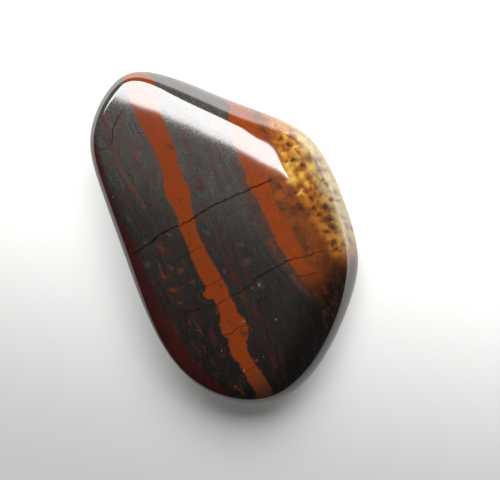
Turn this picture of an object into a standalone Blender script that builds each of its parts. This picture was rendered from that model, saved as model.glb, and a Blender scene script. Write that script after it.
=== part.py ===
"""A polished freeform mugglestone, about 32 by 21 by 6 mm, lying on the flat of its back.

The stone is one solid. Its widest line is a smooth closed curve through the stations below. Above that line
the top rolls in over a shoulder, broad along one long edge and tight along the other, to a low domed face.
Below it the back curves in to the flat that the stone rests on.
"""

import math

import bmesh
import bpy
import numpy as np

MM = 0.001

# The crown's height above the resting flat, in mm, and where it stands
THICKNESS = 6.2
CROWN_AT = (-1.3, 0.8)

# How far the face has fallen, in mm, at the given distance from the crown across or along the stone
CROWN_FALL = 1.17
CROWN_HALF_WIDTH = 9.0
CROWN_HALF_LENGTH = 14.5

# Exponents of the two rounded profiles: 2 is an ellipse, and more keeps the face flatter and the edge tighter
SHOULDER_POWER = 2.1
BACK_POWER = 2.3
BACK_WIDTH = 2.8

# Stations clockwise round the widest line, seen from above, in mm: across, along, how far in from the edge
# the top shoulder reaches there, and how high the widest line lies above the resting flat
STATIONS = (
    (-3.00, 16.20, 1.4, 3.6),
    (0.45, 14.45, 3.0, 2.8),
    (3.90, 11.05, 3.4, 2.1),
    (7.35, 7.60, 4.2, 2.0),
    (9.60, 4.70, 4.3, 2.2),
    (10.37, 1.20, 4.2, 2.1),
    (10.12, -4.20, 4.5, 1.8),
    (9.25, -7.80, 4.6, 1.6),
    (7.05, -10.80, 4.9, 2.0),
    (3.30, -14.05, 4.9, 2.4),
    (0.35, -15.70, 4.0, 2.6),
    (-2.90, -16.20, 2.4, 3.0),
    (-7.00, -14.20, 1.6, 3.6),
    (-9.60, -10.20, 1.6, 4.0),
    (-10.37, -4.50, 1.6, 4.1),
    (-10.05, 1.00, 1.6, 4.1),
    (-9.48, 7.75, 1.5, 4.0),
    (-8.60, 12.00, 1.0, 3.9),
    (-6.15, 14.95, 0.8, 3.8),
)

# Faces along each edge of the cube that is rounded into the stone
CUBE_CUTS = 24
OUTLINE_SAMPLES = 4000

STONE_COLOUR = (0.045, 0.047, 0.042, 1.0)
STONE_ROUGHNESS = 0.12


def closed_spline(stations, samples):
    """Points along the closed cubic spline through the stations, timed by the straight gaps between them."""
    points = np.array(stations)
    count = len(points)
    following = np.roll(points, -1, axis=0)
    gap = np.linalg.norm((following - points)[:, :2], axis=1)
    gap_before = np.roll(gap, 1)
    slope = (following - points) / gap[:, None]
    row = np.arange(count)
    system = np.zeros((count, count))
    system[row, row] = 2 * (gap + gap_before)
    system[row, (row + 1) % count] = gap
    system[row, (row - 1) % count] = gap_before
    bend = np.linalg.solve(system, 6 * (slope - np.roll(slope, 1, axis=0)))
    knot = np.concatenate([[0], np.cumsum(gap)])
    along = np.linspace(0, knot[-1], samples, endpoint=False)
    here = np.searchsorted(knot, along, side="right") - 1
    there = (here + 1) % count
    width = gap[here][:, None]
    past = (along - knot[here])[:, None]
    ahead = width - past
    return (
        (bend[here] * ahead**3 + bend[there] * past**3) / (6 * width)
        + (points[here] / width - bend[here] * width / 6) * ahead
        + (points[there] / width - bend[there] * width / 6) * past
    )


class Outline:
    """The widest line round its own middle, by azimuth, with what the stations say of the edge there."""

    def __init__(self):
        curve = closed_spline(STATIONS, OUTLINE_SAMPLES)
        place = curve[:, :2]
        place = place - (place.min(axis=0) + place.max(axis=0)) / 2
        run = np.roll(place, -1, axis=0) - np.roll(place, 1, axis=0)
        normal = np.stack([-run[:, 1], run[:, 0]], axis=1)
        normal /= np.linalg.norm(normal, axis=1)[:, None]
        azimuth = np.arctan2(place[:, 1], place[:, 0])
        order = np.argsort(azimuth)
        self.azimuth = azimuth[order]
        self.radius = np.linalg.norm(place, axis=1)[order]
        self.tangent_distance = np.abs((place * normal).sum(axis=1))[order]
        self.shoulder, self.girdle = curve[order, 2:].T

    def at(self, azimuth, values):
        return np.interp(azimuth, self.azimuth, values, period=2 * math.pi)


def rounded(inset, power):
    """Height of a rounded edge from 0 to 1, as the inset from its outer line goes from 0 to 1."""
    return np.sqrt(1 - (1 - np.clip(inset, 0, 1)) ** power)


def face_height(x, y):
    across = (x - CROWN_AT[0]) / CROWN_HALF_WIDTH
    along = (y - CROWN_AT[1]) / CROWN_HALF_LENGTH
    return THICKNESS - CROWN_FALL * (across**2 + along**2)


def onto_stone(directions, outline):
    """Places on the stone, in mm, for unit directions from its middle."""
    azimuth = np.arctan2(directions[:, 1], directions[:, 0])
    share = np.hypot(directions[:, 0], directions[:, 1])
    radius = share * outline.at(azimuth, outline.radius)
    inset = (1 - share) * outline.at(azimuth, outline.tangent_distance)
    girdle = outline.at(azimuth, outline.girdle)
    x = radius * np.cos(azimuth)
    y = radius * np.sin(azimuth)
    shoulder = rounded(inset / outline.at(azimuth, outline.shoulder), SHOULDER_POWER)
    top = girdle + (face_height(x, y) - girdle) * shoulder
    back = girdle * (1 - rounded(inset / BACK_WIDTH, BACK_POWER))
    return np.stack([x, y, np.where(directions[:, 2] >= 0, top, back)], axis=1)


def stone_mesh():
    """A cube whose faces are cut into a grid, rounded to a ball and then drawn onto the stone's surface."""
    bm = bmesh.new()
    bmesh.ops.create_cube(bm, size=2)
    bmesh.ops.subdivide_edges(bm, edges=bm.edges[:], cuts=CUBE_CUTS - 1, use_grid_fill=True)
    cube = np.array([vertex.co for vertex in bm.verts])
    ball = np.tan(cube * math.pi / 4)
    ball /= np.linalg.norm(ball, axis=1)[:, None]
    for vertex, place in zip(bm.verts, onto_stone(ball, Outline()) * MM):
        vertex.co = place
    bmesh.ops.recalc_face_normals(bm, faces=bm.faces[:])
    mesh = bpy.data.meshes.new("mugglestone")
    bm.to_mesh(mesh)
    bm.free()
    mesh.shade_smooth()
    return mesh


def stone_material():
    material = bpy.data.materials.new("polished_stone")
    material.use_nodes = True
    shader = material.node_tree.nodes["Principled BSDF"]
    shader.inputs["Base Color"].default_value = STONE_COLOUR
    shader.inputs["Roughness"].default_value = STONE_ROUGHNESS
    shader.inputs["Metallic"].default_value = 0.0
    return material


def main():
    for old in list(bpy.data.objects):
        bpy.data.objects.remove(old)
    parts = bpy.data.collections.new("mugglestone")
    bpy.context.scene.collection.children.link(parts)
    stone = bpy.data.objects.new("mugglestone", stone_mesh())
    stone.data.materials.append(stone_material())
    parts.objects.link(stone)


main()
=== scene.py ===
"""The looks of the polished mugglestone, lying on a pale floor under one large window.

The rock is one material. Its bands, zones, veins, cracks and spots are placed on the face as the camera
sees it, laid on the modelled surface and carried down through the stone, so that the edge and the back
show the same rock. Lengths are in mm in the stone's own frame, +Y towards its narrow end and +Z out of its
polished face, unless a comment says otherwise. Places on the face are pixels of the 500 by 480 image.
"""

import math

import bmesh
import bpy
import numpy as np
from mathutils import Matrix, Vector, noise


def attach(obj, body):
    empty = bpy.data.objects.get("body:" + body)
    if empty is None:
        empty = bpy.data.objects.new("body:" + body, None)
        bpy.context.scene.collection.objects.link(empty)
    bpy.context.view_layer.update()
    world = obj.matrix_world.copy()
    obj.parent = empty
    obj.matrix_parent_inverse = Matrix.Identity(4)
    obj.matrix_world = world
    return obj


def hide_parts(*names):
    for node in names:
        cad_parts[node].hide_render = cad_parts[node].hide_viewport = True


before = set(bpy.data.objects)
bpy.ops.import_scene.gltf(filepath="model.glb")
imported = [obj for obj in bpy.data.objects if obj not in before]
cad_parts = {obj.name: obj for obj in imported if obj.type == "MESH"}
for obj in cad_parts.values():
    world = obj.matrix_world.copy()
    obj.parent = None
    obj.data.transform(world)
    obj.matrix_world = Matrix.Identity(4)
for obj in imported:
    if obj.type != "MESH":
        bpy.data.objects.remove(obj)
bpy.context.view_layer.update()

MM = 0.001

# The crown's height above the resting flat and where it stands, as in the solid
THICKNESS = 6.2
CROWN_AT = (-1.3, 0.8)

# How far the face has fallen at the given distance from the crown across or along the stone
CROWN_FALL = 1.17
CROWN_HALF_WIDTH = 9.0
CROWN_HALF_LENGTH = 14.5

# Exponents of the two rounded profiles, where 2 is an ellipse and more keeps the face flatter and the
# edge tighter, and how far in from the edge the back is rounded
SHOULDER_POWER = 2.1
BACK_POWER = 2.3
BACK_WIDTH = 2.8

# Stations clockwise round the widest line, seen from above: across, along, how far in from the edge the
# top shoulder reaches there, and how high the widest line lies above the resting flat
STATIONS = (
    (-3.00, 16.20, 1.4, 3.6),
    (0.45, 14.45, 3.0, 2.8),
    (3.90, 11.05, 3.4, 2.1),
    (7.35, 7.60, 4.2, 2.0),
    (9.60, 4.70, 4.3, 2.2),
    (10.37, 1.20, 4.2, 2.1),
    (10.12, -4.20, 4.5, 1.8),
    (9.25, -7.80, 4.6, 1.6),
    (7.05, -10.80, 4.9, 2.0),
    (3.30, -14.05, 4.9, 2.4),
    (0.35, -15.70, 4.0, 2.6),
    (-2.90, -16.20, 2.4, 3.0),
    (-7.00, -14.20, 1.6, 3.6),
    (-9.60, -10.20, 1.6, 4.0),
    (-10.37, -4.50, 1.6, 4.1),
    (-10.05, 1.00, 1.6, 4.1),
    (-9.48, 7.75, 1.5, 4.0),
    (-8.60, 12.00, 1.0, 3.9),
    (-6.15, 14.95, 0.8, 3.8),
)

# Faces along each edge of the cube that is rounded into the stone, and points along its widest line
CUBE_CUTS = 116
OUTLINE_SAMPLES = 4000

# The view: the image's size, its scale at the height looked at, how far the stone's length leans to the
# image's left, and how far the camera leans from straight above, towards an angle from the image's right
IMAGE_SIZE = (500, 480)
PIXELS_PER_MM = 11.0
STONE_LEAN = math.radians(24.5)
CAMERA_DISTANCE = 220.0
CAMERA_LEAN = math.radians(4.0)
CAMERA_LEANS_TO = math.radians(200.0)
LOOKED_AT = (0.96, -2.0, 2.0)
SENSOR_WIDTH = 36.0
CLIP_START = 10.0

# Rounds of the search for the place that a pixel shows, and the part of the error that each takes off
SEARCH_ROUNDS = 60
SEARCH_SHARE = 0.35

# The window: the direction to its middle, its distance, half its sides, how far it is turned on its own
# axis, and its radiance
WINDOW_AZIMUTH = math.radians(67.0)
WINDOW_ELEVATION = math.radians(51.5)
WINDOW_DISTANCE = 600.0
WINDOW_HALF_SIDES = (357.0, 241.5)
WINDOW_ROLL = math.radians(-3.8)
WINDOW_RADIANCE = 6.4

FLOOR_HALF_SIDE = 3000.0
FLOOR_COLOUR = (0.5, 0.5, 0.49, 1.0)
FLOOR_ROUGHNESS = 0.9

# How brightly the floor glows on its lighter side, and how far towards it the glow starts and is full
FLOOR_GLOW = 2.5
GLOW_FROM = -28.0
GLOW_TO = 34.0

# Which way the lighter side lies
LIGHTER_AZIMUTH = math.radians(55)
LIGHTER_SIDE = (math.cos(LIGHTER_AZIMUTH), math.sin(LIGHTER_AZIMUTH), 0)

# How bright the dark room is and how bright its horizon is on the lighter side, then the sine of the
# elevation where that light ends and the cosine of the angle from the lighter side where it is full
ROOM_DARK = 0.014
ROOM_AT_HORIZON = 1.3
HORIZON_TOP = 0.12
HORIZON_FULL = 0.95

# How far inwards the polish wavers, and how many times in each mm
UNEVENNESS = 0.006
WAVERS_PER_MM = 0.45

# Pits in the polished face: the pixel in the middle, the width in pixels and the depth in mm
PITS = (
    (147, 264, 5, 0.03), (352, 230, 8, 0.10), (204, 105.5, 3.5, 0.02), (263, 300, 4, 0.015),
)

# How far the rock's layers shift across and along the stone for each mm that they lie below the crown
DIP_ACROSS = 0.22
DIP_ALONG = -0.15

# How the edges in the rock and the marks waver: how many times in each mm, how many finer noises lie on
# that, and how far from end to end
RAGGED = (0.9, 1.0, 0.2)
FINELY_RAGGED = (2.2, 2.0, 0.36)
CRUMPLED = (1.6, 1.0, 0.6)

# The rock's grain: its layers from the left band's left edge to the right band's, and the part of a layer
# that a mm along the stone or down into it counts for
GRAIN_LAYERS = 7.5
GRAIN_ALONG = 0.12
GRAIN_DOWN = 0.3

# How far a thin line reaches past its end points, and how far inside them it is at its full strength
LINE_OVERSHOOT = 0.1
LINE_FADE = 0.3

# How far an oval mark reaches down into the stone
MARK_HALF_DEPTH = 0.9

# Noises in the rock: how many times they vary in each mm, or in each layer for the grain, the threads and
# the stains, then how many finer noises lie on them and how strong those are
GRAIN_NOISE = (3.2, 5.0, 0.62)
FINE_NOISE = (6.5, 3.0, 0.65)
CLOUD_NOISE = (0.8, 4.0, 0.6)
THREAD_NOISE = (5.5, 3.0, 0.6)
THREAD_PATCH_NOISE = (0.55, 3.0)
STAIN_NOISE = (1.1, 4.0, 0.65)
MOTTLE_NOISE = (1.9, 4.0, 0.7)
PATCH_NOISE = (0.85, 4.0, 0.62)
DARK_MOTTLE_NOISE = (1.5, 4.0, 0.68)
LILAC_NOISE = (0.7, 3.0)
KHAKI_NOISE = (1.3, 3.0)
FRECKLE_NOISE = (1.6, 2.0)
JASPER_NOISE = (9.0, 2.0)
GRIT_NOISE = (5.0, 2.0, 0.6)

# Band of orange-brown jasper down the left of the face, by the edges of it
LEFT_BAND_LEFT = (
    (124, 80), (131, 103), (140, 124), (149.5, 140), (158, 160), (163.5, 176), (168.5, 200),
    (175, 212), (180.5, 230), (188.5, 248), (193, 260), (200.5, 278), (205, 285), (206.5, 289),
    (203.5, 294.5), (211, 298.5), (215, 302), (218.5, 309), (220.5, 320), (223, 335), (227.5, 337),
    (231, 352.6), (240.5, 366), (246.8, 378.6), (254.7, 391),
)
LEFT_BAND_RIGHT = (
    (153, 80), (163, 116), (170, 136), (176.5, 154), (180.5, 170), (187, 186), (191, 200),
    (194.5, 220), (203.5, 246), (214, 264), (221, 276), (229.5, 294), (238, 312), (246, 323),
    (248, 334), (249, 353), (256, 364), (263.8, 376), (270.6, 388),
)

# Brighter band on the right, and the mottled purple-brown layer along its left side
RIGHT_BAND_LEFT = (
    (231, 106), (229, 114), (236, 149), (244, 167), (250.6, 189), (259, 200), (268, 222), (278, 244),
    (288, 260), (301.6, 280), (315, 297),
)
RIGHT_BAND_RIGHT = (
    (263, 135), (266, 160), (270, 185), (279, 211), (293.5, 233), (303, 255), (319.6, 270),
    (327, 282), (330, 297),
)
MOTTLED_LEFT = (
    (228, 105), (225, 114), (232, 149), (236, 167), (247, 200), (255, 222), (266, 244), (283, 268),
    (297, 286), (312, 302),
)

# Where the golden ground and the cream ground beyond it begin
GOLDEN_LEFT = (
    (268, 120), (274, 150), (281, 166), (290, 184), (303, 200), (314, 214), (322, 234), (330, 250),
    (341, 262),
)
CREAM_LEFT = (
    (291, 128), (301, 148), (308, 168), (319, 190), (330, 212), (338, 234), (344, 248), (350, 262),
)

# Where the side wall, painted maroon as a reflection of dark red beside the stone, begins along the left
# edge of the face
WALL_RIGHT = (
    (95, 130), (98, 148), (102, 165), (107, 181), (116, 207), (127, 230), (137, 251), (147, 275),
    (157, 299), (169, 322), (184, 346), (203, 370), (226, 390),
)

# Thin lines on the face, each with half its width in mm: most cracks run across the stone, and veins and
# red streaks along it
CRACK_ALONG = (
    (((131, 103), (125, 107), (121, 113), (117, 120), (114, 127), (113, 134), (112, 142),
      (108, 148)), 0.065),
)
CRACKS = (
    (((131, 256), (137, 252), (147, 245), (160, 235), (170, 228), (177, 227), (190, 220), (200, 214),
      (212, 206), (222, 201), (240, 194), (250, 189), (262, 184), (272, 180)), 0.070),
    (((228, 298), (240, 291), (250, 285), (265, 273), (280, 265), (285, 261), (300, 257.5),
      (312, 254), (324, 250)), 0.045),
    (((93, 146), (100, 148), (108, 149.5)), 0.045),
    (((176, 260), (190, 253), (202, 246)), 0.03),
    (((198, 290), (207, 286), (217, 282), (226, 277)), 0.03),
    (((183, 315), (196, 310), (206, 306), (217, 304.5), (228, 299)), 0.03),
    (((222, 336), (232, 333), (246, 323)), 0.03),
    (((243, 373), (249, 370), (257, 365)), 0.03),
    (((256, 303), (263, 299), (272, 294)), 0.035),
    (((196, 364), (204, 358), (213, 352)), 0.03),
    (((296, 278), (306, 275), (322, 272)), 0.03),
)
ORANGE_VEINS = (
    (((101, 105), (104, 112), (108, 122), (112, 130), (114, 138), (115, 150), (120, 166), (125, 178),
      (130, 184), (138, 196), (146, 209)), 0.10),
    (((190, 315), (197, 325), (204, 336)), 0.07),
    (((119, 112), (118, 118), (121, 126)), 0.05),
    (((160, 262), (161, 271), (164, 279)), 0.07),
)
RED_STREAKS = (
    (((180, 125), (186, 140), (190, 160), (197, 180), (201, 190), (204, 208), (213, 222), (220, 238),
      (225, 262), (232, 276), (245, 296), (255, 316), (264, 330), (272, 350), (279, 368)), 0.42),
    (((146, 206), (150, 215), (155, 228)), 0.22),
    (((214, 222), (222, 236), (229, 254), (232, 268)), 0.25),
    (((236, 240), (240, 262), (250, 282), (262, 300)), 0.2),
    (((190, 338), (198, 352), (206, 362)), 0.2),
    (((209, 326), (214, 338), (216, 347)), 0.17),
    (((210, 356), (216, 370), (222, 382)), 0.2),
    (((203, 318), (208, 330), (214, 345)), 0.15),
)

# Oval marks on the face: the pixel in the middle, the length and width in pixels, and how far the length
# leans from the image's right, in degrees
DARK_SPOTS = (
    (280, 138, 7, 3.5, -15), (303, 165, 5.5, 4.5, -60), (294, 160.5, 7, 3.5, -45),
    (295.4, 192, 5, 4, 0), (279.7, 186.5, 6, 5, 60), (269.4, 181.5, 7, 3.5, 15),
    (311.7, 198.5, 6, 5, 45), (300.9, 207.7, 6.5, 4.5, 75), (313.9, 208.2, 6, 4.5, 0),
    (325.3, 208, 16, 8, -60), (328.5, 219, 15, 9, -60), (333, 228, 14, 8, -75), (326, 232, 8, 5, -45),
    (332.9, 243, 8, 6, 75), (337, 248.5, 3.5, 3, 0), (319, 215, 6, 4, -45), (288.5, 144, 5, 4, 75),
    (340, 251, 3, 2.5, 0),
)
EDGE_STREAKS = (
    (350, 240.8, 13, 5, 75), (322.6, 180.5, 4.5, 4, 0), (343.7, 243.5, 6, 4, 75),
    (352, 228, 7, 4, -75), (334.7, 192, 9, 4, -60), (338, 201, 9, 4, -75), (342, 217, 8, 4, -75),
    (318, 160, 9, 5, -60), (347, 226, 9, 4, -75), (327, 184, 6, 4, -60),
)
RED_SPOTS = (
    (308.5, 158.5, 9, 7, -45), (309, 177.5, 9, 7, -60), (300, 186.3, 6.5, 5.5, 0),
    (291, 187.8, 6, 4.5, -45), (316, 186.7, 5, 4, -45), (320.5, 195.5, 7, 3.5, 0),
    (293, 137, 7, 3.5, -45), (286, 161, 5, 3.5, -60), (306, 192, 5, 4, 0), (299, 216, 6, 5, 0),
    (324, 222, 8, 4, -60), (323.6, 170, 13, 5.5, -45), (332, 199, 8, 4, -60), (290, 145, 8, 4, -45),
)
YELLOW_BLOBS = (
    (292, 179.5, 10, 8, 30), (290.5, 172.5, 8, 8, 0), (296.5, 153.5, 10, 8, -60),
    (288.5, 165, 9, 8, 60), (294, 147, 9, 6, -45), (287, 134, 9, 5, -15), (299, 140, 10, 5, -30),
    (303, 175, 9, 6, -45), (282, 152, 9, 5, 75), (303, 150, 7, 5, -45), (298, 162, 8, 6, 75),
    (311, 168, 8, 6, -60), (307, 184, 8, 5, -60), (301, 193, 7, 4, -45), (314, 179, 7, 4, -60),
)
AMBER_BLOBS = (
    (316, 219, 11, 7, -60), (308, 203, 8, 5, -45), (298, 191, 10, 5, -30), (322, 205, 8, 4, -60),
)
FLECKS = (
    (328, 227, 3.2, 2, 60), (331.5, 223, 2.6, 1.8, 75), (327, 234, 2.4, 1.8, 0),
    (333, 214, 3, 1.8, -60),
)
ORANGE_MARKS = (
    (134, 154, 8, 3, 75), (140, 153, 6, 3, 15), (130, 220.5, 6, 4, 75), (147, 241, 6, 4.5, 15),
    (170, 236, 6, 3, 75), (162, 249, 8, 3, 75), (160, 181, 8, 4, 15), (180, 271, 6, 4, 15),
    (192, 282.5, 6, 4, 15), (184, 288, 3, 2.5, 0), (236, 387, 4, 3, 45), (217, 312, 4, 2.5, 0),
    (198, 330, 6, 2.5, -60), (119, 123, 6, 3, 60), (137, 156, 9, 4, 15), (170, 268, 5, 2.5, 75),
    (164, 277, 7, 3, -60), (172, 290, 8, 2.5, -60), (179, 303, 6, 2.5, -60),
)
DARK_MARKS_IN_BAND = (
    (171, 147, 11, 4.5, -75), (189, 234, 3.5, 3, 0), (190.5, 244, 4, 3, 0), (221, 286, 6, 3.5, 75),
    (244, 333, 8, 5, 75), (229, 322, 3, 2.5, 0), (181, 200, 3, 2.5, 0), (262, 129, 8, 5.5, -30),
)
PALE_SPECKS = (
    (108.5, 109, 2, 1.8, 0), (114, 196.5, 1.6, 1.6, 0), (204, 105.5, 1.8, 1.6, 0),
    (222, 351, 1.8, 1.6, 0), (243.5, 371, 2.4, 2, 0), (256.5, 360.5, 2.2, 1.8, 30),
    (263, 356.5, 1.8, 1.6, 0), (252, 287, 1.8, 1.6, 0), (243, 321, 2.4, 2, 0),
    (167, 351.5, 1.6, 1.6, 0), (259.5, 285, 2, 1.8, 0), (276, 319, 2, 1.8, 0),
)
PALE_BLOTCHES = (
    (147, 264, 6.5, 5.5, 0), (247.5, 261, 7, 5.5, 0), (207, 233, 7, 3, -75), (241, 245, 6, 3, -60),
    (261, 285, 6, 4, 75), (225, 270, 4, 3, 0),
)

# Painted glow of the window's light on the iron, brightest towards the narrow end and the right: how much
# of its own colour the iron shows, where the rest is painted shade in deep black, by the place along the
# stone plus this share of the place across it
PAINTED_GLOW_ACROSS = 0.9
PAINTED_GLOW_LEVELS = ((-19, 0.10), (-15, 0.17), (-11, 0.25), (-5, 0.35), (-2, 0.49), (1, 0.80), (4, 1.0))

# Painted shade in the darker corner of the broad end, by the place along the stone plus this share of the
# place
# across it: where it is darkest and where it ends, and the share of the iron's colour that it keeps
SHADED_CORNER_ACROSS = -0.8
SHADED_CORNER_ALONG = (-14.5, -9.0)
SHADED_CORNER_SHARE = 0.25

# The share of orange in the brown ground, by the place along the stone
ORANGE_SHARE = ((-11.5, 0.0), (-9.6, 0.12), (-7.6, 0.45), (-4.0, 0.62), (0.0, 0.85), (3.0, 1.0))

# Where along or across the stone a zone begins to show, and where it is full
THREADS_ALONG = (5.0, -3.0)
THREADS_ACROSS = (0.5, -2.5)
MOTTLED_ALONG = (-10.0, -7.5)
UMBER_ALONG = (-5.5, -9.5)
GOLDEN_ALONG = (-8.6, -5.5)
CREAM_ALONG = (-8.4, -4.4)
LEFT_BAND_ALONG = (-15.5, -11.5)
RIGHT_BAND_ALONG = (-10.2, -3.5)

# The polish: the rock's index of refraction and its roughness, a dim soft bloom over it with its weight on
# jasper and on iron, how far the side wall lacks it, and fine dents with their share on jasper and on iron
ROCK_IOR = 2.16
SMOOTHEST = 0.055
ROUGHEST = 0.095
BLOOM_IOR = 1.5
BLOOM_ROUGHNESS = 0.45
BLOOM_WEIGHTS = (0.10, 0.22)
WALL_DULLNESS = 0.7
DENT_DEPTH = 0.0005
DENT_SHARES = (0.15, 1.0)

# Linear colours of the rock, among them the painted shade on the iron and the painted reflection on the
# side wall
IRON_DARK = (0.03, 0.029, 0.025, 1.0)
IRON_LIGHT = (0.078, 0.08, 0.071, 1.0)
IRON_WARM = (0.062, 0.042, 0.035, 1.0)
# The deep black of the painted shade on the iron
IRON_PAINTED_SHADE = (0.0022, 0.0016, 0.0014, 1.0)
RED_STAIN = (0.06, 0.013, 0.012, 1.0)
# Painted reflection of dark red in the side wall
MAROON_PAINTED_REFLECTION = (0.048, 0.0075, 0.0055, 1.0)
JASPER_RED = (0.26, 0.033, 0.004, 1.0)
JASPER_BROWN = (0.18, 0.04, 0.006, 1.0)
JASPER_BRIGHT = (0.31, 0.044, 0.004, 1.0)
MOTTLE_PURPLE = (0.048, 0.027, 0.024, 1.0)
MOTTLE_BROWN = (0.12, 0.033, 0.014, 1.0)
BROWN_ORANGE = (0.27, 0.064, 0.01, 1.0)
BROWN_DARK = (0.075, 0.024, 0.009, 1.0)
UMBER = (0.011, 0.0065, 0.0045, 1.0)
GOLD = (0.46, 0.175, 0.024, 1.0)
YELLOW = (0.8, 0.49, 0.09, 1.0)
AMBER = (0.42, 0.125, 0.015, 1.0)
CREAM = (0.52, 0.4, 0.17, 1.0)
KHAKI = (0.39, 0.255, 0.1, 1.0)
LILAC_GREY = (0.3, 0.245, 0.215, 1.0)
FLECK = (0.45, 0.29, 0.06, 1.0)
SPOT_DARK = (0.05, 0.018, 0.013, 1.0)
SPOT_RED = (0.165, 0.038, 0.014, 1.0)
STREAK_BROWN = (0.14, 0.062, 0.032, 1.0)
VEIN_ORANGE = (0.15, 0.033, 0.008, 1.0)
CRACK_DARK = (0.0016, 0.0016, 0.0016, 1.0)
SPECK = (0.38, 0.36, 0.26, 1.0)
BLOTCH = (0.085, 0.082, 0.066, 1.0)


def closed_spline(stations, samples):
    """Points on the closed cubic spline through the stations, timed by the straight gaps between."""
    points = np.array(stations)
    count = len(points)
    following = np.roll(points, -1, axis=0)
    gap = np.linalg.norm((following - points)[:, :2], axis=1)
    gap_before = np.roll(gap, 1)
    slope = (following - points) / gap[:, None]
    row = np.arange(count)
    system = np.zeros((count, count))
    system[row, row] = 2 * (gap + gap_before)
    system[row, (row + 1) % count] = gap
    system[row, (row - 1) % count] = gap_before
    bend = np.linalg.solve(system, 6 * (slope - np.roll(slope, 1, axis=0)))
    knot = np.concatenate([[0], np.cumsum(gap)])
    along = np.linspace(0, knot[-1], samples, endpoint=False)
    here = np.searchsorted(knot, along, side="right") - 1
    there = (here + 1) % count
    width = gap[here][:, None]
    past = (along - knot[here])[:, None]
    ahead = width - past
    return (
        (bend[here] * ahead**3 + bend[there] * past**3) / (6 * width)
        + (points[here] / width - bend[here] * width / 6) * ahead
        + (points[there] / width - bend[there] * width / 6) * past
    )


def rounded(inset, power):
    """Height of a rounded edge from 0 to 1, as the inset from its outer line goes from 0 to 1."""
    return np.sqrt(1 - (1 - np.clip(inset, 0, 1)) ** power)


def face_height(x, y):
    across = (x - CROWN_AT[0]) / CROWN_HALF_WIDTH
    along = (y - CROWN_AT[1]) / CROWN_HALF_LENGTH
    return THICKNESS - CROWN_FALL * (across**2 + along**2)


class Surface:
    """The stone's surface: its widest line by azimuth round its own middle, and how high it lies."""

    def __init__(self):
        curve = closed_spline(STATIONS, OUTLINE_SAMPLES)
        place = curve[:, :2]
        place = place - (place.min(axis=0) + place.max(axis=0)) / 2
        run = np.roll(place, -1, axis=0) - np.roll(place, 1, axis=0)
        normal = np.stack([-run[:, 1], run[:, 0]], axis=1)
        normal /= np.linalg.norm(normal, axis=1)[:, None]
        azimuth = np.arctan2(place[:, 1], place[:, 0])
        order = np.argsort(azimuth)
        self.azimuth = azimuth[order]
        self.radius = np.linalg.norm(place, axis=1)[order]
        self.tangent_distance = np.abs((place * normal).sum(axis=1))[order]
        self.shoulder, self.girdle = curve[order, 2:].T

    def at(self, azimuth, values):
        return np.interp(azimuth, self.azimuth, values, period=2 * math.pi)

    def share(self, x, y):
        """How far out a place is, from 0 in the middle to 1 on the widest line."""
        return np.hypot(x, y) / self.at(np.arctan2(y, x), self.radius)

    def inset(self, x, y):
        return (1 - self.share(x, y)) * self.at(np.arctan2(y, x), self.tangent_distance)

    def top(self, x, y):
        azimuth = np.arctan2(y, x)
        girdle = self.at(azimuth, self.girdle)
        shoulder = rounded(self.inset(x, y) / self.at(azimuth, self.shoulder), SHOULDER_POWER)
        return girdle + (face_height(x, y) - girdle) * shoulder

    def back(self, x, y):
        girdle = self.at(np.arctan2(y, x), self.girdle)
        return girdle * (1 - rounded(self.inset(x, y) / BACK_WIDTH, BACK_POWER))

    def places(self, directions):
        """Places on the surface for unit directions from the stone's middle."""
        azimuth = np.arctan2(directions[:, 1], directions[:, 0])
        radius = np.hypot(directions[:, 0], directions[:, 1]) * self.at(azimuth, self.radius)
        x = radius * np.cos(azimuth)
        y = radius * np.sin(azimuth)
        height = np.where(directions[:, 2] >= 0, self.top(x, y), self.back(x, y))
        return np.stack([x, y, height], axis=1)


def camera_frame():
    """The camera's place, and its right, up and backward directions as columns."""
    right = np.array([math.cos(STONE_LEAN), -math.sin(STONE_LEAN), 0])
    up = np.array([math.sin(STONE_LEAN), math.cos(STONE_LEAN), 0])
    sideways = right * math.cos(CAMERA_LEANS_TO) + up * math.sin(CAMERA_LEANS_TO)
    backward = math.sin(CAMERA_LEAN) * sideways + math.cos(CAMERA_LEAN) * np.array([0, 0, 1])
    right = np.cross(up, backward)
    right /= np.linalg.norm(right)
    up = np.cross(backward, right)
    return np.array(LOOKED_AT) + CAMERA_DISTANCE * backward, np.stack([right, up, backward], axis=1)


def on_face(pixels, surface):
    """Places on the stone's top that the camera sees at the given pixels."""
    pixels = np.array(pixels, float)
    eye, axes = camera_frame()
    offset = (pixels - np.array(IMAGE_SIZE) / 2) * (1, -1) / PIXELS_PER_MM / CAMERA_DISTANCE
    rays = np.column_stack([offset, -np.ones(len(pixels))]) @ axes.T
    height = np.full(len(pixels), THICKNESS)
    for _ in range(SEARCH_ROUNDS):
        seen = eye + rays * ((height - eye[2]) / rays[:, 2])[:, None]
        height += SEARCH_SHARE * (surface.top(seen[:, 0], seen[:, 1]) - height)
    return seen


def sunk(places, surface):
    """How far the polish lies below the smooth stone, in mm, at each place."""
    waver = np.array([noise.noise(Vector(place) * WAVERS_PER_MM) for place in places])
    depth = UNEVENNESS * (1 + waver) / 2
    middles = on_face([pit[:2] for pit in PITS], surface)
    for (_, _, width, deep), middle in zip(PITS, middles):
        away = np.linalg.norm(places - middle, axis=1) / (width / 2 / PIXELS_PER_MM)
        depth += deep * np.clip(1 - away**2, 0, 1)
    return depth


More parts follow.
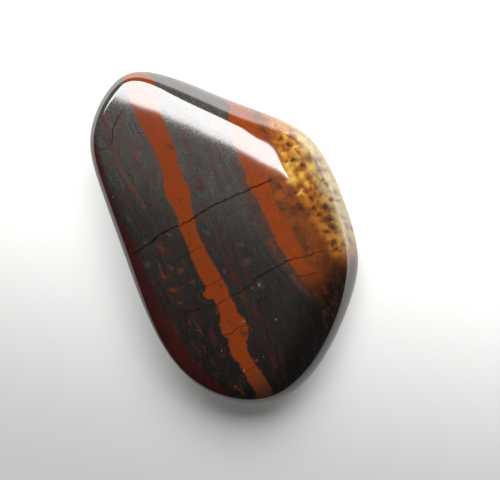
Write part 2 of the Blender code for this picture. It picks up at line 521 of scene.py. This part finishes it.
def stone_mesh(surface):
    """A cube with its faces cut into a grid, rounded to a ball and drawn onto the stone's surface."""
    bm = bmesh.new()
    bmesh.ops.create_cube(bm, size=2)
    bmesh.ops.subdivide_edges(bm, edges=bm.edges[:], cuts=CUBE_CUTS - 1, use_grid_fill=True)
    cube = np.array([vertex.co for vertex in bm.verts])
    ball = np.tan(cube * math.pi / 4)
    ball /= np.linalg.norm(ball, axis=1)[:, None]
    places = surface.places(ball)
    for vertex, place in zip(bm.verts, places):
        vertex.co = place * MM
    bmesh.ops.recalc_face_normals(bm, faces=bm.faces[:])
    bm.normal_update()
    for vertex, depth in zip(bm.verts, sunk(places, surface)):
        vertex.co -= vertex.normal * depth * MM
    mesh = bpy.data.meshes.new("mugglestone_polished")
    bm.to_mesh(mesh)
    bm.free()
    mesh.shade_smooth()
    return mesh


class Graph:
    """Makes shader nodes in the order they are used, and hands on their outputs."""

    def __init__(self, tree):
        self.nodes = tree.nodes
        self.links = tree.links

    def node(self, kind, inputs, **settings):
        made = self.nodes.new(kind)
        for name, setting in settings.items():
            setattr(made, name, setting)
        for socket, value in inputs.items():
            self.feed(made.inputs[socket], value)
        return made

    def feed(self, socket, value):
        if isinstance(value, bpy.types.NodeSocket):
            self.links.new(value, socket)
        else:
            socket.default_value = value

    def math(self, operation, *values):
        return self.node("ShaderNodeMath", dict(enumerate(values)), operation=operation).outputs[0]

    def times(self, first, second):
        return self.math("MULTIPLY", first, second)

    def minus(self, first, second):
        return self.math("SUBTRACT", first, second)

    def scaled(self, value, factor, base):
        """The value times the factor, plus the base."""
        return self.math("MULTIPLY_ADD", value, factor, base)

    def vector_math(self, operation, *values):
        return self.node("ShaderNodeVectorMath", dict(enumerate(values)), operation=operation).outputs

    def vector(self, operation, *values):
        return self.vector_math(operation, *values)["Vector"]

    def length(self, place):
        return self.vector_math("LENGTH", place)["Value"]

    def dot(self, place, direction):
        return self.vector_math("DOT_PRODUCT", place, direction)["Value"]

    def join(self, x, y, z):
        return self.node("ShaderNodeCombineXYZ", {0: x, 1: y, 2: z}).outputs[0]

    def step(self, value, low, high, top=1.0):
        """0 where the value is low and top where it is high, with a smooth rise between."""
        inputs = {"Value": value, "From Min": low, "From Max": high, "To Min": 0.0, "To Max": top}
        return self.node("ShaderNodeMapRange", inputs, interpolation_type="SMOOTHSTEP").outputs["Result"]

    def span(self, value, low, high, start, end):
        """From start to end as the value goes from low to high."""
        inputs = {"Value": value, "From Min": low, "From Max": high, "To Min": start, "To Max": end}
        return self.node("ShaderNodeMapRange", inputs).outputs["Result"]

    def noise(self, place, scale, detail=2.0, roughness=0.5):
        inputs = {"Vector": place, "Scale": scale, "Detail": detail, "Roughness": roughness}
        return self.node("ShaderNodeTexNoise", inputs).outputs["Fac"]

    def wander(self, place, scale, detail, reach):
        """A shift of up to half the reach either way on each axis, changing smoothly with the place."""
        inputs = {"Vector": place, "Scale": scale, "Detail": detail}
        shift = self.node("ShaderNodeTexNoise", inputs).outputs["Color"]
        return self.vector("MULTIPLY_ADD", shift, (reach,) * 3, (-reach / 2,) * 3)

    def blend(self, share, low, high):
        return self.node("ShaderNodeMix", {0: share, 2: low, 3: high}, data_type="FLOAT").outputs[0]

    def paint(self, share, under, over):
        return self.node("ShaderNodeMix", {0: share, 6: under, 7: over}, data_type="RGBA").outputs[2]

    def cover(self, under, over, share, strength):
        """One colour over another, as far as the product of the share and the strength."""
        return self.paint(self.times(share, strength), under, over)

    def curve(self, value, points, handle="AUTO_CLAMPED"):
        """The height at a value of a line through (value, height) points, flat beyond its ends."""
        points = sorted(points)
        first, last = points[0][0], points[-1][0]
        low = min(height for _, height in points)
        reach = max(height for _, height in points) - low
        share = self.span(value, first, last, 0.0, 1.0)
        made = self.node("ShaderNodeFloatCurve", {"Value": share})
        knots = made.mapping.curves[0].points
        placed = [((at - first) / (last - first), (height - low) / reach) for at, height in points]
        knots[0].location = placed[0]
        knots[1].location = placed[-1]
        for place in placed[1:-1]:
            knots.new(*place)
        for knot in knots:
            knot.handle_type = handle
        made.mapping.update()
        return self.scaled(made.outputs[0], reach, low)


class Rock:
    """Places in the stone's rock, and shares from 0 to 1 that depend only on the place in it."""

    def __init__(self, graph, surface):
        self.graph = graph
        self.surface = surface
        coordinates = graph.node("ShaderNodeTexCoord", {})
        self.place = graph.vector("SCALE", coordinates.outputs["Object"])
        self.place.node.inputs["Scale"].default_value = 1 / MM
        ragged = graph.wander(self.place, *RAGGED)
        finer = graph.wander(self.place, *FINELY_RAGGED)
        wavering = graph.vector("ADD", graph.vector("ADD", self.place, ragged), finer)
        self.crumpled = graph.vector("ADD", self.place, graph.wander(self.place, *CRUMPLED))
        split = graph.node("ShaderNodeSeparateXYZ", {0: wavering})
        depth = graph.minus(THICKNESS, split.outputs["Z"])
        self.across = graph.scaled(depth, DIP_ACROSS, split.outputs["X"])
        self.along = graph.scaled(depth, DIP_ALONG, split.outputs["Y"])
        self.left_edge = self.line_across(LEFT_BAND_LEFT)
        self.right_edge = self.line_across(RIGHT_BAND_LEFT)
        past = graph.minus(self.across, self.left_edge)
        gap = graph.minus(self.right_edge, self.left_edge)
        layer = graph.times(graph.math("DIVIDE", past, gap), GRAIN_LAYERS)
        run = graph.times(self.along, GRAIN_ALONG)
        self.grain_place = graph.join(layer, run, graph.times(depth, GRAIN_DOWN))

    def layered(self, pixels):
        """The (across, along) places in the layers that the camera sees at the given pixels."""
        seen = on_face(pixels, self.surface)
        depth = THICKNESS - seen[:, 2]
        return np.column_stack([seen[:, 0] + DIP_ACROSS * depth, seen[:, 1] + DIP_ALONG * depth])

    def line_across(self, pixels):
        """How far across a line that runs along the stone lies, at each place along it."""
        return self.graph.curve(self.along, [(along, across) for across, along in self.layered(pixels)])

    def beyond(self, edge, soft):
        """1 on the right of an edge and 0 on its left, with a rise that reaches soft to either side."""
        return self.graph.step(self.graph.minus(self.across, edge), -soft, soft)

    def within(self, left, right, soft):
        after = self.beyond(left, soft)
        before = self.graph.minus(1.0, self.beyond(right, soft))
        return self.graph.times(after, before)

    def line(self, pixels, half_width, runs_along, soft):
        """The share of a thin line through pixels: 1 on it and 0 off it, fading at its two ends."""
        graph = self.graph
        places = self.layered(pixels)
        run, offset = (self.along, self.across) if runs_along else (self.across, self.along)
        order = places[:, ::-1] if runs_along else places
        first, last = order[:, 0].min(), order[:, 0].max()
        handle = "AUTO_CLAMPED" if runs_along else "VECTOR"
        bend = graph.curve(run, [tuple(place) for place in order], handle)
        off = graph.math("ABSOLUTE", graph.minus(offset, bend))
        on = graph.step(off, half_width * (1 + soft), half_width * (1 - soft))
        started = graph.step(run, first - LINE_OVERSHOOT, first + LINE_FADE)
        ended = graph.step(run, last + LINE_OVERSHOOT, last - LINE_FADE)
        return graph.times(on, graph.times(started, ended))

    def lines(self, lines, runs_along, soft):
        nearest = self.line(*lines[0], runs_along, soft)
        for pixels, half_width in lines[1:]:
            nearest = self.graph.math("MAXIMUM", nearest, self.line(pixels, half_width, runs_along, soft))
        return nearest

    def marks(self, marks, soft):
        """The share of the oval marks: 1 inside them and 0 outside."""
        graph = self.graph
        nearest = None
        for lean in sorted({mark[4] for mark in marks}):
            alike = [mark for mark in marks if mark[4] == lean]
            turn = math.radians(lean) + STONE_LEAN
            lengthwise = (math.cos(turn), math.sin(turn), 0)
            widthwise = (-math.sin(turn), math.cos(turn), 0)
            sides = np.array([lengthwise, widthwise, (0, 0, 1)])
            turned = graph.join(*(graph.dot(self.crumpled, tuple(side)) for side in sides))
            middles = on_face([mark[:2] for mark in alike], self.surface) @ sides.T
            for (_, _, length, width, _), middle in zip(alike, middles):
                half = np.array([length / 2 / PIXELS_PER_MM, width / 2 / PIXELS_PER_MM, MARK_HALF_DEPTH])
                offset = graph.vector("MULTIPLY_ADD", turned, tuple(1 / half), tuple(-middle / half))
                away = graph.length(offset)
                nearest = away if nearest is None else graph.math("MINIMUM", nearest, away)
        return graph.step(nearest, 1 + soft, 1 - soft)


def iron_ground(graph, rock, grain, fine, cloud):
    """Grey-green iron ore with warm clouds in it, under a painted glow that fades to painted shade in deep
    black towards the broad end.
    """
    speckled = graph.math("ADD", graph.times(grain, 0.4), graph.times(fine, 0.6))
    colour = graph.paint(graph.step(speckled, 0.38, 0.64), IRON_DARK, IRON_LIGHT)
    colour = graph.paint(graph.step(cloud, 0.40, 0.62, 0.75), colour, IRON_WARM)
    # Painted glow of the window's light, strongest towards the narrow end and the right
    painted_glow = graph.curve(graph.scaled(rock.across, PAINTED_GLOW_ACROSS, rock.along), PAINTED_GLOW_LEVELS)
    # Painted shade in the broad end's corner
    corner = graph.scaled(rock.across, SHADED_CORNER_ACROSS, rock.along)
    outside = graph.step(corner, *SHADED_CORNER_ALONG, 1 - SHADED_CORNER_SHARE)
    painted_glow = graph.times(painted_glow, graph.math("ADD", outside, SHADED_CORNER_SHARE))
    return graph.paint(painted_glow, IRON_PAINTED_SHADE, colour)


def streaked(graph, rock, colour, grain, cloud):
    """The colour with fine orange threads, red stains along the layers and the red streaks over it."""
    threads = graph.step(graph.noise(rock.grain_place, *THREAD_NOISE), 0.54, 0.66)
    patches = graph.step(graph.noise(rock.place, *THREAD_PATCH_NOISE), 0.44, 0.62, 0.45)
    threads = graph.times(threads, patches)
    threads = graph.times(threads, graph.step(rock.along, *THREADS_ALONG))
    threads = graph.times(threads, graph.step(rock.across, *THREADS_ACROSS))
    colour = graph.paint(threads, colour, VEIN_ORANGE)
    stained = graph.step(graph.noise(rock.grain_place, *STAIN_NOISE), 0.50, 0.72, 0.5)
    colour = graph.paint(stained, colour, RED_STAIN)
    blotchy = graph.times(graph.step(grain, 0.40, 0.62), graph.step(cloud, 0.38, 0.58, 0.8))
    streaks = rock.lines(RED_STREAKS, runs_along=True, soft=0.9)
    return graph.cover(colour, RED_STAIN, streaks, blotchy)


def brown_ground(graph, rock, patch):
    """Patchy orange-brown that darkens to umber towards the broad end."""
    patchy = graph.times(graph.curve(rock.along, ORANGE_SHARE), graph.step(patch, 0.25, 0.72, 1.25))
    brown = graph.paint(graph.math("MINIMUM", patchy, 1.0), BROWN_DARK, BROWN_ORANGE)
    return graph.paint(graph.step(rock.along, *UMBER_ALONG), brown, UMBER)


def gilded(graph, rock, colour, patch):
    """The colour with the golden and cream zones over it, and the patches, streaks and spots in them."""
    golden = rock.beyond(rock.line_across(GOLDEN_LEFT), soft=0.5)
    golden = graph.times(golden, graph.step(rock.along, *GOLDEN_ALONG))
    colour = graph.paint(golden, colour, graph.paint(graph.step(patch, 0.38, 0.6), BROWN_ORANGE, GOLD))
    creamy = rock.beyond(rock.line_across(CREAM_LEFT), soft=0.7)
    creamy = graph.times(creamy, graph.step(rock.along, *CREAM_ALONG))
    lilac = graph.step(graph.noise(rock.place, *LILAC_NOISE), 0.50, 0.66, 0.8)
    cream = graph.paint(lilac, CREAM, LILAC_GREY)
    khaki = graph.step(graph.noise(rock.place, *KHAKI_NOISE), 0.42, 0.60, 0.8)
    cream = graph.paint(khaki, cream, KHAKI)
    colour = graph.paint(creamy, colour, cream)
    colour = graph.cover(colour, AMBER, rock.marks(AMBER_BLOBS, soft=1.0), strength=0.85)
    yellow = rock.marks(YELLOW_BLOBS, soft=1.0)
    colour = graph.cover(colour, YELLOW, yellow, graph.step(patch, 0.22, 0.54, 0.9))
    freckles = graph.step(graph.noise(rock.place, *FRECKLE_NOISE), 0.52, 0.70, 0.7)
    room = graph.minus(golden, graph.times(creamy, 0.6))
    colour = graph.cover(colour, SPOT_RED, freckles, room)
    colour = graph.cover(colour, STREAK_BROWN, rock.marks(EDGE_STREAKS, soft=1.0), strength=0.9)
    colour = graph.cover(colour, SPOT_RED, rock.marks(RED_SPOTS, soft=0.9), strength=0.85)
    colour = graph.cover(colour, SPOT_DARK, rock.marks(DARK_SPOTS, soft=0.95), strength=0.95)
    return graph.cover(colour, FLECK, rock.marks(FLECKS, soft=0.8), strength=0.6)


def banded(graph, rock, colour, left_band, fine, mottle):
    """The colour with the two bands of orange-brown jasper over it."""
    cloudy = graph.step(graph.scaled(fine, 0.4, graph.times(mottle, 0.6)), 0.38, 0.60)
    cloudy = graph.times(cloudy, 0.85)
    jasper = graph.paint(cloudy, JASPER_RED, JASPER_BROWN)
    grains = graph.step(graph.noise(rock.place, *JASPER_NOISE), 0.56, 0.74, 0.45)
    jasper = graph.paint(grains, jasper, BROWN_DARK)
    jasper = graph.paint(graph.step(rock.along, *LEFT_BAND_ALONG), BROWN_DARK, jasper)
    colour = graph.paint(left_band, colour, jasper)
    right_band = rock.within(rock.right_edge, rock.line_across(RIGHT_BAND_RIGHT), soft=0.2)
    right_band = graph.times(right_band, graph.step(rock.along, *RIGHT_BAND_ALONG))
    return graph.paint(right_band, colour, graph.paint(cloudy, JASPER_BROWN, JASPER_BRIGHT))


def rock_colours(graph, rock):
    """The rock's colour, the share of it that is iron ore, and how far each place is too dull to bloom."""
    grain = graph.noise(rock.grain_place, *GRAIN_NOISE)
    fine = graph.noise(rock.place, *FINE_NOISE)
    cloud = graph.noise(rock.place, *CLOUD_NOISE)
    colour = iron_ground(graph, rock, grain, fine, cloud)
    colour = streaked(graph, rock, colour, grain, cloud)
    wall = graph.minus(1.0, rock.beyond(rock.line_across(WALL_RIGHT), soft=0.2))
    # The side wall is painted maroon in streaks, a painted reflection of dark red beside the stone
    colour = graph.cover(colour, MAROON_PAINTED_REFLECTION, wall, graph.step(grain, 0.2, 0.6, 0.9))

    mottled_left = rock.line_across(MOTTLED_LEFT)
    mottle = graph.noise(rock.place, *MOTTLE_NOISE)
    mottled = graph.paint(graph.step(mottle, 0.44, 0.64), MOTTLE_PURPLE, MOTTLE_BROWN)
    ending = graph.step(rock.along, *MOTTLED_ALONG, 0.9)
    colour = graph.cover(colour, mottled, rock.within(mottled_left, rock.right_edge, soft=0.35), ending)

    right_side = rock.beyond(rock.right_edge, soft=0.15)
    patch = graph.noise(rock.place, *PATCH_NOISE)
    colour = graph.paint(right_side, colour, brown_ground(graph, rock, patch))
    dark_mottles = graph.step(graph.noise(rock.place, *DARK_MOTTLE_NOISE), 0.50, 0.64, 0.55)
    colour = graph.cover(colour, BROWN_DARK, dark_mottles, right_side)
    colour = gilded(graph, rock, colour, patch)

    left_band = rock.within(rock.left_edge, rock.line_across(LEFT_BAND_RIGHT), soft=0.12)
    colour = banded(graph, rock, colour, left_band, fine, mottle)

    colour = graph.cover(colour, BROWN_DARK, rock.marks(DARK_MARKS_IN_BAND, soft=0.8), strength=0.7)
    orange = rock.marks(ORANGE_MARKS, soft=0.9)
    colour = graph.cover(colour, VEIN_ORANGE, orange, graph.step(mottle, 0.34, 0.62, 0.85))
    veins = rock.lines(ORANGE_VEINS, runs_along=True, soft=1.0)
    colour = graph.cover(colour, VEIN_ORANGE, veins, graph.step(mottle, 0.34, 0.60, 0.75))
    colour = graph.cover(colour, BLOTCH, rock.marks(PALE_BLOTCHES, soft=1.0), strength=0.35)
    across_stone = rock.lines(CRACKS, runs_along=False, soft=0.8)
    along_stone = rock.lines(CRACK_ALONG, runs_along=True, soft=0.8)
    cracked = graph.math("MAXIMUM", across_stone, along_stone)
    colour = graph.cover(colour, CRACK_DARK, cracked, strength=0.8)
    colour = graph.cover(colour, SPECK, rock.marks(PALE_SPECKS, soft=0.8), strength=0.3)

    stony = graph.math("MAXIMUM", left_band, right_side)
    dull = graph.math("MAXIMUM", cracked, graph.times(wall, WALL_DULLNESS))
    return colour, graph.minus(1.0, stony), dull


def rock_material(surface):
    material = bpy.data.materials.new("polished_banded_rock")
    material.use_nodes = True
    graph = Graph(material.node_tree)
    shader = graph.nodes["Principled BSDF"]
    rock = Rock(graph, surface)
    colour, iron, dull = rock_colours(graph, rock)
    graph.feed(shader.inputs["Base Color"], colour)
    grit = graph.noise(rock.place, *GRIT_NOISE)
    rougher = graph.span(grit, 0.3, 0.7, SMOOTHEST, ROUGHEST)
    graph.feed(shader.inputs["Roughness"], graph.blend(iron, SMOOTHEST, rougher))
    bloom = graph.times(graph.span(iron, 0.0, 1.0, *BLOOM_WEIGHTS), graph.minus(1.0, dull))
    graph.feed(shader.inputs["Coat Weight"], bloom)
    shader.inputs["IOR"].default_value = ROCK_IOR
    shader.inputs["Coat IOR"].default_value = BLOOM_IOR
    shader.inputs["Coat Roughness"].default_value = BLOOM_ROUGHNESS
    dents = graph.times(graph.minus(grit, 0.5), graph.span(iron, 0.0, 1.0, *DENT_SHARES))
    bump = graph.node("ShaderNodeBump", {"Height": dents, "Distance": DENT_DEPTH * MM})
    graph.feed(shader.inputs["Normal"], bump.outputs[0])
    return material


def make_floor():
    bm = bmesh.new()
    bmesh.ops.create_grid(bm, x_segments=1, y_segments=1, size=FLOOR_HALF_SIDE * MM)
    mesh = bpy.data.meshes.new("floor")
    bm.to_mesh(mesh)
    bm.free()
    floor = bpy.data.objects.new("floor", mesh)
    paper = bpy.data.materials.new("floor_paper")
    paper.use_nodes = True
    graph = Graph(paper.node_tree)
    shader = graph.nodes["Principled BSDF"]
    shader.inputs["Base Color"].default_value = FLOOR_COLOUR
    shader.inputs["Roughness"].default_value = FLOOR_ROUGHNESS
    shader.inputs["Emission Color"].default_value = FLOOR_COLOUR
    towards = graph.dot(graph.node("ShaderNodeTexCoord", {}).outputs["Object"], LIGHTER_SIDE)
    glow = graph.step(towards, GLOW_FROM * MM, GLOW_TO * MM, FLOOR_GLOW)
    graph.feed(shader.inputs["Emission Strength"], glow)
    mesh.materials.append(paper)
    bpy.context.scene.collection.objects.link(floor)


def make_window():
    outward = np.array([
        math.cos(WINDOW_AZIMUTH) * math.cos(WINDOW_ELEVATION),
        math.sin(WINDOW_AZIMUTH) * math.cos(WINDOW_ELEVATION),
        math.sin(WINDOW_ELEVATION),
    ])
    level = np.array([-math.sin(WINDOW_AZIMUTH), math.cos(WINDOW_AZIMUTH), 0])
    rising = np.cross(outward, level)
    wide = level * math.cos(WINDOW_ROLL) + rising * math.sin(WINDOW_ROLL)
    high = rising * math.cos(WINDOW_ROLL) - level * math.sin(WINDOW_ROLL)
    light = bpy.data.lights.new("window", "AREA")
    light.shape = "RECTANGLE"
    light.size, light.size_y = (2 * side * MM for side in WINDOW_HALF_SIDES)
    light.energy = WINDOW_RADIANCE * math.pi * light.size * light.size_y
    lamp = bpy.data.objects.new("window", light)
    axes = Matrix([wide, high, outward]).transposed().to_4x4()
    lamp.matrix_world = Matrix.Translation(Vector(outward) * WINDOW_DISTANCE * MM) @ axes
    bpy.context.scene.collection.objects.link(lamp)


def make_camera():
    eye, axes = camera_frame()
    data = bpy.data.cameras.new("camera")
    data.sensor_width = SENSOR_WIDTH
    data.lens = SENSOR_WIDTH * CAMERA_DISTANCE * PIXELS_PER_MM / IMAGE_SIZE[0]
    data.clip_start = CLIP_START * MM
    camera = bpy.data.objects.new("camera", data)
    camera.matrix_world = Matrix.Translation(Vector(eye) * MM) @ Matrix(axes).to_4x4()
    bpy.context.scene.collection.objects.link(camera)
    bpy.context.scene.camera = camera


def make_world():
    world = bpy.data.worlds.new("room")
    world.use_nodes = True
    graph = Graph(world.node_tree)
    background = graph.nodes["Background"]
    background.inputs["Color"].default_value = (1.0, 1.0, 1.0, 1.0)
    toward = graph.node("ShaderNodeTexCoord", {}).outputs["Generated"]
    low = graph.step(graph.node("ShaderNodeSeparateXYZ", {0: toward}).outputs["Z"], HORIZON_TOP, 0.0)
    lighter = graph.step(graph.dot(toward, LIGHTER_SIDE), 0.0, HORIZON_FULL, ROOM_AT_HORIZON)
    graph.feed(background.inputs["Strength"], graph.scaled(low, lighter, ROOM_DARK))
    bpy.context.scene.world = world
    bpy.context.scene.view_settings.view_transform = "Standard"


def main():
    surface = Surface()
    make_camera()
    make_world()
    make_window()
    make_floor()
    mesh = stone_mesh(surface)
    stone = bpy.data.objects.new("mugglestone_polished", mesh)
    bpy.context.scene.collection.objects.link(stone)
    mesh.materials.append(rock_material(surface))
    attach(stone, "root")
    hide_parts("mugglestone")


main()
